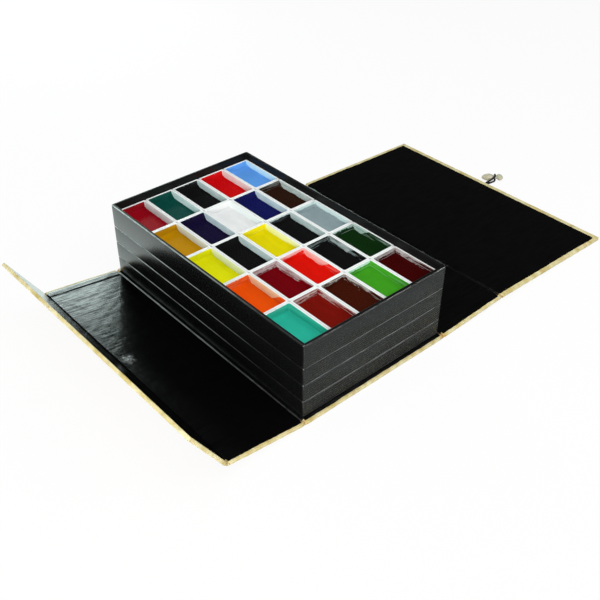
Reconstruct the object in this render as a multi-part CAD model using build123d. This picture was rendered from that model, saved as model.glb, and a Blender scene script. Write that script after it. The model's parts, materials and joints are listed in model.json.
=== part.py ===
from build123d import *

import os
from math import asin, cos, degrees, pi, radians, sin, sqrt, tan

# Watercolour paint box: four stacked trays of porcelain pans inside a folding
# cloth-covered book case, closed by a bone peg on a cord.
# Millimetres, +Z up. The origin is the centre of the base panel's underside.
# The case lies open: wall and lip on the -X side, spine and lid on the +X side.

# Case panels: a board wrapped in brocade outside and lined with paper inside
brocade_t = 0.4
board_t = 2.3
lining_t = 0.3
panel_t = brocade_t + board_t + lining_t
panel_edge_r = 0.35
turn_in = 1.6
lid_turn_in_side = 3.0
lid_turn_in_end = 4.5

# Fold joints: a cloth strip from one panel to a soft roll on the fold's axis
fold_gap = panel_t
fold_cloth_t = brocade_t + lining_t
fold_roll_clear = 0.4

# Pans: porcelain cups, a paint cake in each
pan_w = 28.2
pan_l = 47.9
pan_h = 12.8
pan_gap = 0.2
pan_rim_w = 1.6
pan_rim_l = 2.4
pan_floor = 2.6
pan_draft = 0.3
cavity_draft = 1.7
pan_corner = 1.2
cavity_corner = 1.6
paint_below_rim = 5.2
paint_fit = 0.04
paint_dish = 0.6
paint_dish_rim = 0.6
paint_dish_slope = 1.4
columns = 5
rows = 5

# Trays: paper-covered board, one pan grid each
tray_wall = 3.0
tray_floor = 2.5
tray_side_slack = 0.5
tray_end_slack = 0.85
tray_rim = 0.5
top_tray_rim = 5.9
tray_corner_cut = 1.2
tray_edge_cut = 0.35
lower_trays = ("third", "second")

# Clearances of the closed case round the stack of trays
case_end_margin = 3.7
stack_shift = 1.2
case_side_clear = 0.4
lip_clear = 0.3
lid_clear = 0.3
lid_short = 3.5
lip_len = 53.0

# How the case lies open
wall_angle = 6.7
lip_angle = 58.0
spine_rise = 3.7

# Clasp: cord collar on the lid's edge, cord loop, bone peg, and the wall's loop
clasp_y = 10.6
cord_d = 2.0
cord_sides = 6
bend_share = 0.45
collar_r = 1.3
collar_len = 1.6
collar_sink = 1.0
collar_hole_clear = 0.05
knee_clear = 0.15
strand_gap = 2.3
peg_reach = 13.8
peg_aside = 0.5
peg_long = 14.6
peg_short = 8.2
peg_turn = 139.5
peg_sides = 12
peg_flatness = 1.6
waist_t = 2.4
long_lobe_t = 6.6
short_lobe_t = 6.0
loop_down = 8.6
loop_span = 14.0
loop_height = 2.6
loop_hole_clear = 0.1

# Sizes that follow
panel_half = panel_t / 2
pitch_x = pan_w + pan_gap
pitch_y = pan_l + pan_gap
tray_in_w = columns * pitch_x + 2 * tray_side_slack - pan_gap
tray_in_l = rows * pitch_y + 2 * tray_end_slack - pan_gap
tray_w = tray_in_w + 2 * tray_wall
tray_l = tray_in_l + 2 * tray_wall
tray_h = tray_floor + pan_h + tray_rim
top_tray_h = tray_floor + pan_h + top_tray_rim
stack_h = tray_h * (len(lower_trays) + 1) + top_tray_h
case_l = tray_l + 2 * case_end_margin
fold_x = tray_w / 2 + case_side_clear + panel_half
wall_len = stack_h + panel_t + lip_clear
spine_len = wall_len + panel_t + lid_clear
lid_len = 2 * fold_x + panel_half - lid_short
spine_angle = degrees(asin(spine_rise / spine_len))
lid_angle = -degrees(asin(spine_rise / lid_len))


def box(x, y, z):
    """A block from three (low, high) pairs."""
    size = [high - low for low, high in (x, y, z)]
    middle = [(high + low) / 2 for low, high in (x, y, z)]
    return Pos(*middle) * Box(*size)


def write(name, *solids):
    """One STEP file per named piece; equal pieces share one file."""
    part = solids[0] if len(solids) == 1 else Compound(children=list(solids))
    part.label = name
    export_step(part, f"parts/{name}.step")


class Panel:
    """A case panel, drawn flat along +X from its fold axis and then turned to its place."""

    def __init__(self, name, axis, length, angle, side=1, free=False, turns=(turn_in, turn_in)):
        self.name, self.axis, self.length, self.angle = name, axis, length, angle
        self.side, self.free = side, free
        self.turn_side, self.turn_end = turns
        self.near = 0 if name == "base" else fold_gap / 2
        self.far = length if free else length - fold_gap / 2

    def place(self, shape):
        """From the flat drawing to the panel's place in the open case."""
        if self.side < 0:
            shape = mirror(shape, about=Plane.YZ)
        x, z = self.axis
        return Pos(x, 0, z) * (Rot(0, -self.side * self.angle, 0) * shape)

    def end(self):
        """The axis of the next fold."""
        x, z = self.axis
        run = self.length
        return (
            x + self.side * run * cos(radians(self.angle)),
            z + run * sin(radians(self.angle)),
        )

    def ends(self, inset):
        """The panel's run along X, inset at a free edge only."""
        low = -self.far if self.name == "base" else self.near
        return low, self.far - (inset if self.free else 0)

    def layers(self):
        half_l = case_l / 2
        top, bottom = panel_half, -panel_half
        outside = box(self.ends(0), (-half_l, half_l), (bottom, top))
        wrapped = outside.edges().filter_by(Axis.X)
        if self.free:
            wrapped += outside.edges().filter_by(Axis.Y).group_by(Axis.X)[-1]
        outside = fillet(wrapped, panel_edge_r)
        side_y = half_l - brocade_t
        board = box(self.ends(brocade_t), (-side_y, side_y), (bottom + brocade_t, top - lining_t))
        lining_y = half_l - self.turn_side
        lining = box(self.ends(self.turn_end), (-lining_y, lining_y), (top - lining_t, top))
        return {"board": board, "brocade": outside - board - lining, "lining": lining}


def fold_cloth(panel):
    """The strip that leaves a panel's far edge, with its roll on the next fold's axis."""
    roll_r = fold_gap / 2 - fold_roll_clear
    half_l = case_l / 2
    strip = box((panel.far, panel.length), (-half_l, half_l), (-fold_cloth_t / 2, fold_cloth_t / 2))
    roll = Pos(panel.length, 0, 0) * Rot(90, 0, 0) * Cylinder(roll_r, case_l)
    return panel.place(strip + roll)


def flat_sided(rings):
    """A solid through a row of matching polygons, with flat faces from each to the next."""
    faces = [Face(Wire.make_polygon(rings[0])), Face(Wire.make_polygon(rings[-1]))]
    for ring, following in zip(rings, rings[1:]):
        for side in range(len(ring)):
            before = side - 1
            corners = [ring[before], ring[side], following[side], following[before]]
            faces.append(Face(Wire.make_polygon(corners)))
    return Solid(Shell(faces))


def cut_corner_ring(width, length, corner, z):
    """A level rectangle with its corners cut at 45 degrees."""
    x, y = width / 2, length / 2
    right = [(x - corner, -y), (x, corner - y), (x, y - corner), (x - corner, y)]
    left = [(-u, -v) for u, v in right]
    return [Vector(u, v, z) for u, v in right + left]


def tapered(width, length, corner, depth, draft):
    """A block hanging below z = 0, narrower at the foot by the draft on every side."""
    foot_corner = corner - (2 - sqrt(2)) * draft
    rim = cut_corner_ring(width, length, corner, 0)
    foot = cut_corner_ring(width - 2 * draft, length - 2 * draft, foot_corner, -depth)
    return flat_sided([rim, foot])


def pan():
    """A porcelain pan with its rim at z = 0."""
    outside = tapered(pan_w, pan_l, pan_corner, pan_h, pan_draft)
    width = pan_w - 2 * pan_rim_w
    length = pan_l - 2 * pan_rim_l
    return outside - tapered(width, length, cavity_corner, pan_h - pan_floor, cavity_draft)


def paint(dished):
    """A paint cake filling the pan's foot, with a shallow dish dried into its top."""
    depth = pan_h - pan_floor
    inset = cavity_draft * paint_below_rim / depth + paint_fit
    width = pan_w - 2 * (pan_rim_w + inset)
    length = pan_l - 2 * (pan_rim_l + inset)
    height = depth - paint_below_rim - paint_fit
    cake = tapered(width, length, cavity_corner, height, cavity_draft * height / depth)
    if dished:
        across = width - 2 * paint_dish_rim
        along = length - 2 * paint_dish_rim
        cake -= tapered(across, along, cavity_corner, paint_dish, paint_dish_slope)
    return Pos(0, 0, -paint_below_rim) * cake


def tray(height):
    """An open tray standing on z = 0."""
    outside = Pos(0, 0, height / 2) * Box(tray_w, tray_l, height)
    outside = chamfer(outside.edges().filter_by(Axis.Z), tray_corner_cut)
    rim = outside.faces().sort_by(Axis.Z)[-1].edges()
    foot = outside.faces().sort_by(Axis.Z)[0].edges()
    outside = chamfer(rim + foot, tray_edge_cut)
    inside = Pos(0, 0, tray_floor + height / 2) * Box(tray_in_w, tray_in_l, height)
    return outside - inside


def grid(shape, z):
    """Copies of a shape on the pan grid, back row first and left to right in each row."""
    places = []
    for row in range(rows):
        for column in range(columns):
            x = (column - (columns - 1) / 2) * pitch_x
            y = stack_shift + ((rows - 1) / 2 - row) * pitch_y
            places.append(Pos(x, y, z) * shape)
    return places


# The paint in each pan of the top tray, back row first
top_colours = (
    ("crimson", "deep_teal", "black", "signal_red", "sky_blue"),
    ("ochre", "violet", "white", "navy", "umber"),
    ("lemon", "black", "golden_yellow", "black", "grey"),
    ("orange", "dark_red", "vermilion", "black", "pine_green"),
    ("turquoise", "russet", "sepia", "leaf_green", "maroon"),
)


def build_case():
    """The five panels in order along the unfolded case, and the strips between them."""
    base = Panel("base", (0, panel_half), fold_x, 0)
    wall = Panel("wall", (-fold_x, panel_half), wall_len, wall_angle, side=-1)
    lip = Panel("lip", wall.end(), lip_len, lip_angle, side=-1, free=True)
    spine = Panel("spine", (fold_x, panel_half), spine_len, spine_angle)
    lid_turns = (lid_turn_in_side, lid_turn_in_end)
    lid = Panel("lid", spine.end(), lid_len, lid_angle, free=True, turns=lid_turns)
    panels = {panel.name: panel for panel in (base, wall, lip, spine, lid)}
    layers = {name: panel.layers() for name, panel in panels.items()}
    cut_loop_holes(layers["wall"])
    cut_collar_hole(layers["lid"])
    for name, panel in panels.items():
        for layer, shape in layers[name].items():
            write(f"{name}_{layer}", panel.place(shape))
    left_base = Panel("base", (0, panel_half), fold_x, 0, side=-1)
    for name, panel in (("wall", left_base), ("lip", wall), ("spine", base), ("lid", spine)):
        write(f"{name}_fold_cloth", fold_cloth(panel))
    write("wall_loop", wall.place(wall_loop()))
    write("clasp_collar", lid.place(collar()))
    build_clasp(lid)


def cord(points, name):
    """A cord through the points, each bend as wide as its two runs allow."""
    runs = [after - before for before, after in zip(points, points[1:])]
    radii = []
    for before, after in zip(runs, runs[1:]):
        share = min(before.length, after.length) * bend_share
        radii.append(share / tan(radians(before.get_angle(after)) / 2))
    path = FilletPolyline(*points, radius=radii)
    section = Plane(path @ 0, z_dir=path % 0) * RegularPolygon(cord_d / 2, cord_sides)
    listed = ", ".join(f"{radius:.1f}" for radius in radii)
    print(f"{name}: length {path.length:.1f} mm, radii {listed} mm")
    return sweep(section, path)


def wall_loop():
    """A cord bowed between two holes in the wall panel, on its outside; drawn on the flat panel."""
    along = wall_len - loop_down
    half = loop_span / 2
    inner, outer = panel_half - lining_t, -panel_half
    outer -= loop_height
    corners = ((-half, inner), (-half, outer), (half, outer), (half, inner))
    return cord([Vector(along, clasp_y + y, z) for y, z in corners], "wall loop")


def cut_loop_holes(layers):
    """The two holes in the wall panel that hold the loop's ends."""
    along = wall_len - loop_down
    for y in (clasp_y - loop_span / 2, clasp_y + loop_span / 2):
        hole = Pos(along, y, 0) * Cylinder(cord_d / 2 + loop_hole_clear, panel_t)
        for layer in ("board", "brocade"):
            layers[layer] -= hole


def collar():
    """The bound cord end that stands out of the lid's free edge."""
    length = collar_sink + collar_len
    middle = lid_len - collar_sink + length / 2
    rod = Pos(middle, clasp_y, 0) * Rot(0, 90, 0) * Cylinder(collar_r, length)
    tip = rod.edges().filter_by(GeomType.CIRCLE).sort_by(Axis.X)[-1]
    return chamfer(tip, collar_r * 0.4)


def cut_collar_hole(layers):
    """The hole in the lid's edge that the collar sits in."""
    hole = Pos(lid_len, clasp_y, 0) * Rot(0, 90, 0)
    hole *= Cylinder(collar_r + collar_hole_clear, 2 * collar_sink)
    for layer in ("board", "brocade"):
        layers[layer] -= hole


def clasp_knee(lid):
    """The swing axis of the clasp, just past the collar."""
    reach = lid.length + collar_len + knee_clear + cord_d / 2
    x = lid.axis[0] + reach * cos(radians(lid.angle))
    z = lid.axis[1] + reach * sin(radians(lid.angle))
    return x, z


def peg():
    """The bone peg along +X with its waist at the origin: a long lobe ahead, a short one behind."""
    stations = (
        (-peg_short, 1.2),
        (-peg_short * 0.88, short_lobe_t * 0.66),
        (-peg_short * 0.5, short_lobe_t),
        (-cord_d * 0.6, waist_t),
        (cord_d * 0.6, waist_t),
        (peg_long * 0.2, long_lobe_t * 0.72),
        (peg_long * 0.42, long_lobe_t),
        (peg_long * 0.7, long_lobe_t * 0.86),
        (peg_long * 0.92, long_lobe_t * 0.5),
        (peg_long, 1.2),
    )
    turns = [2 * pi * (side + 0.5) / peg_sides for side in range(peg_sides)]
    rings = []
    for x, thickness in stations:
        tall = thickness / 2
        rings.append([Vector(x, peg_flatness * tall * cos(turn), tall * sin(turn)) for turn in turns])
    return flat_sided(rings)


def build_clasp(lid):
    """The peg and the cord loop round its waist, lying beyond the lid's edge."""
    knee_x, knee_z = clasp_knee(lid)
    knee = Vector(knee_x, clasp_y, knee_z)
    waist = Vector(knee_x + peg_reach, clasp_y + peg_aside, long_lobe_t / 2)
    write("clasp_peg", Pos(*waist) * (Rot(0, 0, peg_turn) * peg()))
    along = Vector(cos(radians(peg_turn)), sin(radians(peg_turn)), 0)
    across = Vector(along.Y, -along.X, 0)
    under = cord_d / 2 + 0.01 - waist.Z
    route = (
        (-6.9, 5.6, 0.6),
        (-3.2, 0.9, 2.4),
        (3.3, 0, 2.3),
        (3.3, -0.1, under),
        (-3.6, 0.5, under),
        (-7.2, 4.6, -1.9),
    )
    half = Vector(0, strand_gap / 2, 0)
    points = [waist + across * u + along * v + Vector(0, 0, w) for u, v, w in route]
    strands = cord([knee + half, *points, knee - half], "clasp cord")
    bar = Pos(*knee) * Rot(90, 0, 0) * Cylinder(cord_d / 2, strand_gap + cord_d)
    write("clasp_cord", strands + bar)
    print(f"clasp swings at x {knee_x:.3f}, z {knee_z:.3f} mm")


def build_trays():
    """The stack from the bottom tray up, each with its pans and paints."""
    z = panel_t
    one_pan, plain_paint, dished_paint = pan(), paint(False), paint(True)
    for name in ("bottom",) + lower_trays:
        write(f"{name}_tray", Pos(0, stack_shift, z) * tray(tray_h))
        rim = z + tray_floor + pan_h
        write(f"{name}_pans", *grid(one_pan, rim))
        write(f"{name}_paints", *grid(plain_paint, rim))
        z += tray_h
    write("top_tray", Pos(0, stack_shift, z) * tray(top_tray_h))
    rim = z + tray_floor + pan_h
    write("top_pans", *grid(one_pan, rim))
    cakes = {}
    for colour, cake in zip(sum(top_colours, ()), grid(dished_paint, rim)):
        cakes.setdefault(colour, []).append(cake)
    for colour, solids in cakes.items():
        write(f"paint_{colour}", *solids)


os.makedirs("parts", exist_ok=True)
build_case()
build_trays()
print(f"case {case_l:.1f} long, stack {tray_w:.1f} x {tray_l:.1f} x {stack_h:.1f} mm")
print(f"folds at {fold_x:.2f}, wall {wall_len:.2f}, spine {spine_len:.2f}, lid {lid_len:.2f} mm")
print(f"spine {spine_angle:.3f}, lid {lid_angle:.3f} degrees")
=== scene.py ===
import colorsys
import json
import random
from collections import namedtuple
from math import atan2, copysign, cos, degrees, exp, hypot, pi, radians, sin

import bpy
import numpy as np
from mathutils import Matrix, Vector


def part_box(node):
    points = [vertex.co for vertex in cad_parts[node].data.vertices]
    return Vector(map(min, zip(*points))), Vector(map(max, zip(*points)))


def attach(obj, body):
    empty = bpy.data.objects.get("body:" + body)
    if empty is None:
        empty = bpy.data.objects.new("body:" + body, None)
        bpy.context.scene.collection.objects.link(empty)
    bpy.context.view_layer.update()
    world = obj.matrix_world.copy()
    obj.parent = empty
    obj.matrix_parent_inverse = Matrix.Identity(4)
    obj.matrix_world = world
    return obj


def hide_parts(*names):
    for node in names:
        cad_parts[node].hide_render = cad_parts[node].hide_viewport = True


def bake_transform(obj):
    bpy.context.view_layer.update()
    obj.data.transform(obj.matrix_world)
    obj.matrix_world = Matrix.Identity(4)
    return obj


MM = 0.001
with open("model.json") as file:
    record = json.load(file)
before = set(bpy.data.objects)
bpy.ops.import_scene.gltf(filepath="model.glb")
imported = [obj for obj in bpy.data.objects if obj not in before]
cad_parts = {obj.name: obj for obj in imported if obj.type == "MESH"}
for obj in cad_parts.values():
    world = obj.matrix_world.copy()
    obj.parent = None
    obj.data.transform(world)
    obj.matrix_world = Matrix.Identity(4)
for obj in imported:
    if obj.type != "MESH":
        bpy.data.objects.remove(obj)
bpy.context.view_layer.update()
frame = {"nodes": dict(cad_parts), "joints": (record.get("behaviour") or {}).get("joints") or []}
joints = {joint["name"]: joint for joint in frame["joints"]}


def box(node):
    """The low and the high corner of a solid, in millimetres."""
    return [[c / MM for c in corner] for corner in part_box(node)]


def metres(place):
    """A place or a size in millimetres, turned to metres."""
    return tuple(c * MM for c in place)


def put(name, data):
    """A new object in the scene."""
    made = bpy.data.objects.new(name, data)
    bpy.context.scene.collection.objects.link(made)
    return made


stack_low, stack_high = box("top_tray")
stack_middle = (stack_low[1] + stack_high[1]) / 2
stack_half = stack_high[1] - stack_middle

# Camera of the photograph: turned round the stack's middle at the level of the base's top
CAMERA_AZIMUTH = -42.0
CAMERA_ELEVATION = 37.3
CAMERA_ROLL = 0.75
CAMERA_DISTANCE = 753.8
CAMERA_OFFSET = (24.5, 0.37)
CAMERA_LENS = 52.47
CAMERA_TARGET = (0.0, 1.2, 3.0)

# Light
FILL = 0.36
DARK_ROOM = 0.027
FLOOR_GLOSS_LEFT = 0.05
FLOOR_GLOSS_FRONT = 0.3
FLOOR_GLOSS_BACK = 1.3
FLOOR_HALF = 3000.0

# Case panels
PANEL_T = 3.0
HALF_T = PANEL_T / 2
CASE_L = 255.4
TURN_IN = 1.6
LID_TURN_SIDE = 3.0
LID_TURN_END = 4.5
LIP_TURN_END = 0.7
LIP_LENGTH = 53.0
LIP_ANGLE = 58.0
LID_LENGTH = 150.6
CORNER_R = 1.1
LINING_PROUD = 0.04
LINING_GAP = 0.35
HALF_GAP = HALF_T
GROOVE_DEPTH = 1.25
ROLL_HEIGHT = 0.4
FIGURES_OUTSIDE = 1.0
FIGURES_AT_EDGE = 0.15
FIGURE_PITCH = 17.0
CIRCLE_PITCH = 7.0
CIRCLE_R = 3.3
THREAD_PITCH = 0.55

# Trays and pans
LEVELS = ("bottom", "third", "second", "top")
COLUMNS = 5
ROWS = 5
PITCH_X = 28.4
PITCH_Y = 48.1
PAN_W = 28.2
PAN_L = 47.9
PAN_H = 12.8
CAVITY_W = 25.4
CAVITY_L = 45.0
CAVITY_DRAFT = 4.1
CAVITY_DEPTH = 10.2
CAVITY_CORNER_R = 1.5
PAINT_BELOW_RIM = 5.2
CAKE_EDGE = 1.2
CORNER_CLIMB = 3.6
TRAY_WALL = 3.0
TRAY_FLOOR = 2.5
TRAY_CORNER_R = 2.2
RIB_PITCH = 2.2

# Clasp
CLASP_Y = 10.6
CORD_D = 2.0
PEG_REACH = 13.8
PEG_ASIDE = 0.5
PEG_TURN = 139.5
PEG_MID_Z = 3.3
PEG_FLATNESS = 1.6
COLLAR_R = 1.3
LOOP_DOWN = 8.6
LOOP_SPAN = 14.0
LOOP_HEIGHT = 2.6
UNDER_CLOTH = 8.4


def srgb(r, g, b):
    """A colour given as seen on a screen, 0 to 255, as linear light."""
    return tuple(
        (c / 12.92 if c <= 0.04045 else ((c + 0.055) / 1.055) ** 2.4) for c in (r / 255, g / 255, b / 255)
    )


# A pan's paint: its name, the share of the back wall that it covers, the shares of the right wall
# at its back and at its front, where along the wall that changes, and how streaky the film is
Paint = namedtuple("Paint", "name back behind ahead change streaky", defaults=(1.0, 0.04, 0.02, 0.5, 0.0))

# Paints of the top tray, back row first
TOP_PAINTS = (
    (
        Paint("crimson", behind=0.02), Paint("deep_teal"), Paint("black", streaky=0.05), Paint("signal_red"),
        Paint("sky_blue", 1.0, 0.15, 0.1, 0.5, 0.1),
    ),
    (
        Paint("ochre"), Paint("violet", behind=0.02), Paint("white", 1.0, 0.0, 0.0),
        Paint("navy", behind=0.02), Paint("umber", 0.95, 0.04, 0.04, 0.5, 0.3),
    ),
    (
        Paint("lemon", behind=0.08), Paint("black", behind=0.02),
        Paint("golden_yellow", 1.0, 0.1, 0.4, 0.7, 0.15), Paint("black", 0.66, 0.02, 0.02, 0.5, 0.1),
        Paint("grey", 0.5, 0.3, 0.25, 0.4, 0.3),
    ),
    (
        Paint("orange", 0.85, 0.03, 0.9, 0.78, 0.2), Paint("dark_red", 0.2, 0.05, 0.8, 0.66, 0.8),
        Paint("vermilion", 0.5, 0.06, 1.1, 0.62, 0.3), Paint("black", 1.05, 0.2, 0.9, 0.62, 0.8),
        Paint("pine_green", 0.62, 0.05, 1.3, 0.36, 0.4),
    ),
    (
        Paint("turquoise", 1.1, 1.0, 1.0, 0.5, 0.1), Paint("russet", 0.35, 0.6, 0.85, 0.5, 1.0),
        Paint("sepia", 0.65, 0.4, 0.9, 0.6, 1.0), Paint("leaf_green", 0.6, 1.0, 1.1, 0.5, 0.2),
        Paint("maroon", 0.42, 0.45, 0.9, 0.5, 1.0),
    ),
)

# Their colours, as seen on a screen
PIGMENTS = {
    "crimson": (150, 10, 26), "deep_teal": (12, 72, 64), "black": (19, 19, 20), "signal_red": (204, 10, 16),
    "sky_blue": (98, 164, 240), "ochre": (194, 140, 4), "violet": (22, 16, 50), "white": (238, 240, 240),
    "navy": (20, 24, 86), "umber": (46, 26, 16), "lemon": (228, 228, 10), "golden_yellow": (230, 216, 6),
    "grey": (146, 164, 168), "orange": (240, 84, 8), "dark_red": (114, 4, 14), "vermilion": (222, 20, 8),
    "pine_green": (16, 46, 16), "turquoise": (44, 184, 158), "russet": (122, 20, 12), "sepia": (66, 22, 10),
    "leaf_green": (66, 160, 34), "maroon": (64, 6, 6),
}

# Colours that a material uses twice
PAPER_BLACK = (0.0032, 0.0035, 0.0035)
LINING_BLACK = (0.0016, 0.0016, 0.0017)
GLAZE = srgb(240, 244, 243)


# Materials


class Shader:
    """A material's node tree with one Principled shader, and short calls to add to it."""

    def __init__(self, name, colour, roughness, **sockets):
        self.material = bpy.data.materials.new(name)
        self.material.use_nodes = True
        self.material.diffuse_color = (*colour, 1)
        self.tree = self.material.node_tree
        self.surface = self.tree.nodes["Principled BSDF"]
        self.look("Base Color", (*colour, 1))
        self.look("Roughness", roughness)
        for socket, value in sockets.items():
            self.look(socket.replace("_", " "), value)

    def set(self, node, socket, value):
        """Link another node's output to a socket, or write a constant in it."""
        target = node.inputs[socket]
        if isinstance(value, bpy.types.NodeSocket):
            self.tree.links.new(value, target)
        else:
            target.default_value = value

    def look(self, socket, value):
        """Set a socket of the Principled shader."""
        self.set(self.surface, socket, value)

    def node(self, kind, inputs=None, **settings):
        node = self.tree.nodes.new(kind)
        for key, value in settings.items():
            setattr(node, key, value)
        for socket, value in (inputs or {}).items():
            self.set(node, socket, value)
        return node

    def math(self, operation, a, b=0.0, c=0.0):
        return self.node("ShaderNodeMath", {0: a, 1: b, 2: c}, operation=operation).outputs[0]

    def plus(self, a, b):
        return self.math("ADD", a, b)

    def minus(self, a, b):
        return self.math("SUBTRACT", a, b)

    def times(self, a, b):
        return self.math("MULTIPLY", a, b)

    def vector(self, operation, a, b):
        return self.node("ShaderNodeVectorMath", {0: a, 1: b}, operation=operation).outputs[0]

    def point(self):
        """The place on the object, in millimetres."""
        place = self.node("ShaderNodeTexCoord").outputs["Object"]
        return self.node("ShaderNodeVectorMath", {0: place, 3: 1000.0}, operation="SCALE").outputs[0]

    def length(self, a, b):
        """The length of a flat vector."""
        return self.math("SQRT", self.plus(self.math("POWER", a, 2.0), self.math("POWER", b, 2.0)))

    def split(self, place):
        """The x, y and z of a place."""
        return self.node("ShaderNodeSeparateXYZ", {0: place}).outputs

    def attribute(self, name, output="Fac"):
        return self.node("ShaderNodeAttribute", attribute_name=name).outputs[output]

    def noise(self, place, scale, detail=2.0, roughness=0.5):
        inputs = {"Vector": place, "Scale": scale, "Detail": detail, "Roughness": roughness}
        return self.node("ShaderNodeTexNoise", inputs).outputs["Fac"]

    def streaks(self, place, stretch, scale, detail=2.0, roughness=0.5):
        return self.noise(self.vector("MULTIPLY", place, stretch), scale, detail, roughness)

    def between(self, value, low, high, to_low=0.0, to_high=1.0):
        """The value's place between low and high, from to_low to to_high and held there."""
        inputs = {"Value": value, "From Min": low, "From Max": high, "To Min": to_low, "To Max": to_high}
        return self.node("ShaderNodeMapRange", inputs).outputs[0]

    def mix(self, share, a, b):
        """A colour that goes from a to b with the share."""
        a = (*a, 1) if isinstance(a, tuple) and len(a) == 3 else a
        b = (*b, 1) if isinstance(b, tuple) and len(b) == 3 else b
        return self.node("ShaderNodeMix", {0: share, 6: a, 7: b}, data_type="RGBA").outputs[2]

    def bump(self, height, strength, distance_mm, under=None):
        inputs = {"Height": height, "Strength": strength, "Distance": distance_mm * MM}
        if under is not None:
            inputs["Normal"] = under
        return self.node("ShaderNodeBump", inputs).outputs[0]


def make_ribbed_paper():
    """Black laid paper with fine level ribs and a soft gloss; the ribs stand out most on the end faces."""
    s = Shader("tray_paper", PAPER_BLACK, 0.26, Specular_IOR_Level=1.0)
    place = s.point()
    _, y, z = s.split(place)
    from_middle = s.math("ABSOLUTE", s.minus(y, stack_middle))
    at_end = s.between(from_middle, stack_half - 1.0, stack_half - 0.5, 0.06, 1.0)
    wobble = s.math("MULTIPLY_ADD", s.noise(place, 0.06, 2), 0.8, z)
    rib = s.math("SINE", s.times(wobble, 2 * pi / RIB_PITCH))
    broken = s.streaks(place, (0.02, 0.02, 0.08), 1.0, 3, 0.6)
    rib = s.times(rib, s.between(broken, 0.3, 0.65, 0.25, 1.0))
    thread = s.streaks(place, (0.04, 0.04, 1.1), 1.0, 3, 0.6)
    height = s.math("MULTIPLY_ADD", thread, 1.4, rib)
    grain = s.noise(place, 1.6, 3, 0.7)
    bump = s.bump(s.times(height, at_end), 1.0, 0.22)
    s.look("Normal", s.bump(grain, 0.05, 0.04, bump))
    fibre = s.between(s.math("MULTIPLY_ADD", rib, 0.26, thread), 0.38, 0.76)
    s.look("Base Color", s.mix(s.times(fibre, at_end), PAPER_BLACK, (0.03, 0.032, 0.032)))
    s.look("Roughness", s.between(grain, 0.3, 0.7, 0.24, 0.28))
    return s.material


def make_tray_inside():
    """The duller black paper inside a tray."""
    s = Shader("tray_inside", (0.004, 0.004, 0.0042), 0.45, Specular_IOR_Level=0.25)
    s.look("Normal", s.bump(s.noise(s.point(), 1.2, 3), 0.2, 0.1))
    return s.material


def make_edge_highlight_paper():
    """Black paper painted pale along sharp edges and creases: a painted highlight in patches, paler and
    blue-green towards the far end, except where it stays black.
    """
    s = Shader("worn_paper", (0.05, 0.056, 0.055), 0.3)
    place = s.point()
    x, y, z = s.split(place)
    # Painted highlight: a dim and a pale tone in patches, the pale one growing towards the far end
    patches = s.between(s.noise(place, 0.12, 3, 0.6), 0.35, 0.6)
    far = s.between(y, -90.0, 110.0)
    pale = s.mix(far, (0.07, 0.08, 0.078), (0.54, 0.66, 0.64))
    patchy_tone = s.mix(patches, s.mix(far, (0.02, 0.022, 0.022), (0.34, 0.42, 0.4)), pale)
    # The near part of the stack's left edges, down to just above the base
    left = stack_low[0]
    at_left = s.times(s.between(x, left + 1.4, left + 0.4), s.between(y, -5.0, -80.0, 0.0, 0.9))
    at_left = s.times(at_left, s.between(z, 5.0, 7.0))
    # The crease beside the lid, apart from short scratches
    scratches = s.streaks(place, (0.6, 0.1, 0.6), 1.0, 2)
    at_lid = s.times(s.between(x, 100.0, 101.0), s.between(scratches, 0.54, 0.6, 1.0, 0.6))
    # Places kept black, without the painted highlight
    kept_black = s.math("MAXIMUM", at_left, at_lid)
    s.look("Specular IOR Level", s.between(at_lid, 0.0, 1.0, 0.8, 0.15))
    s.look("Base Color", s.mix(kept_black, patchy_tone, (0.004, 0.0045, 0.0045)))
    return s.material


def make_lining():
    """Glossy black lining paper: broken laid lines across the panels, a faint crackle, and pale spots over
    the cord's knot as a painted highlight.
    """
    s = Shader("lining_paper", LINING_BLACK, 0.2)
    place = s.point()
    lines = s.streaks(place, (0.05, 1.0, 0.05), 1.0, 3, 0.6)
    crackle = s.streaks(place, (0.4, 0.8, 0.4), 1.0, 4, 0.65)
    bump = s.bump(s.noise(place, 0.03, 2), 0.3, 0.5)
    bump = s.bump(crackle, 0.3, 0.03, bump)
    s.look("Normal", s.bump(lines, 1.0, 0.08, bump))
    s.look("Roughness", s.between(crackle, 0.3, 0.7, 0.13, 0.22))
    # Painted highlight: pale blue-green spots where the cord's knot lifts the lining
    knot_glint_spots = s.times(s.attribute("scuffed"), s.between(s.noise(place, 1.1, 3, 0.7), 0.44, 0.6))
    s.look("Base Color", s.mix(knot_glint_spots, LINING_BLACK, (0.78, 0.86, 0.84)))
    furrow = s.streaks(place, (0.05, 1.1, 0.05), 1.0, 2, 0.6)
    s.look("Specular IOR Level", s.between(furrow, 0.38, 0.56, 0.22, 0.7))
    return s.material


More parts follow.
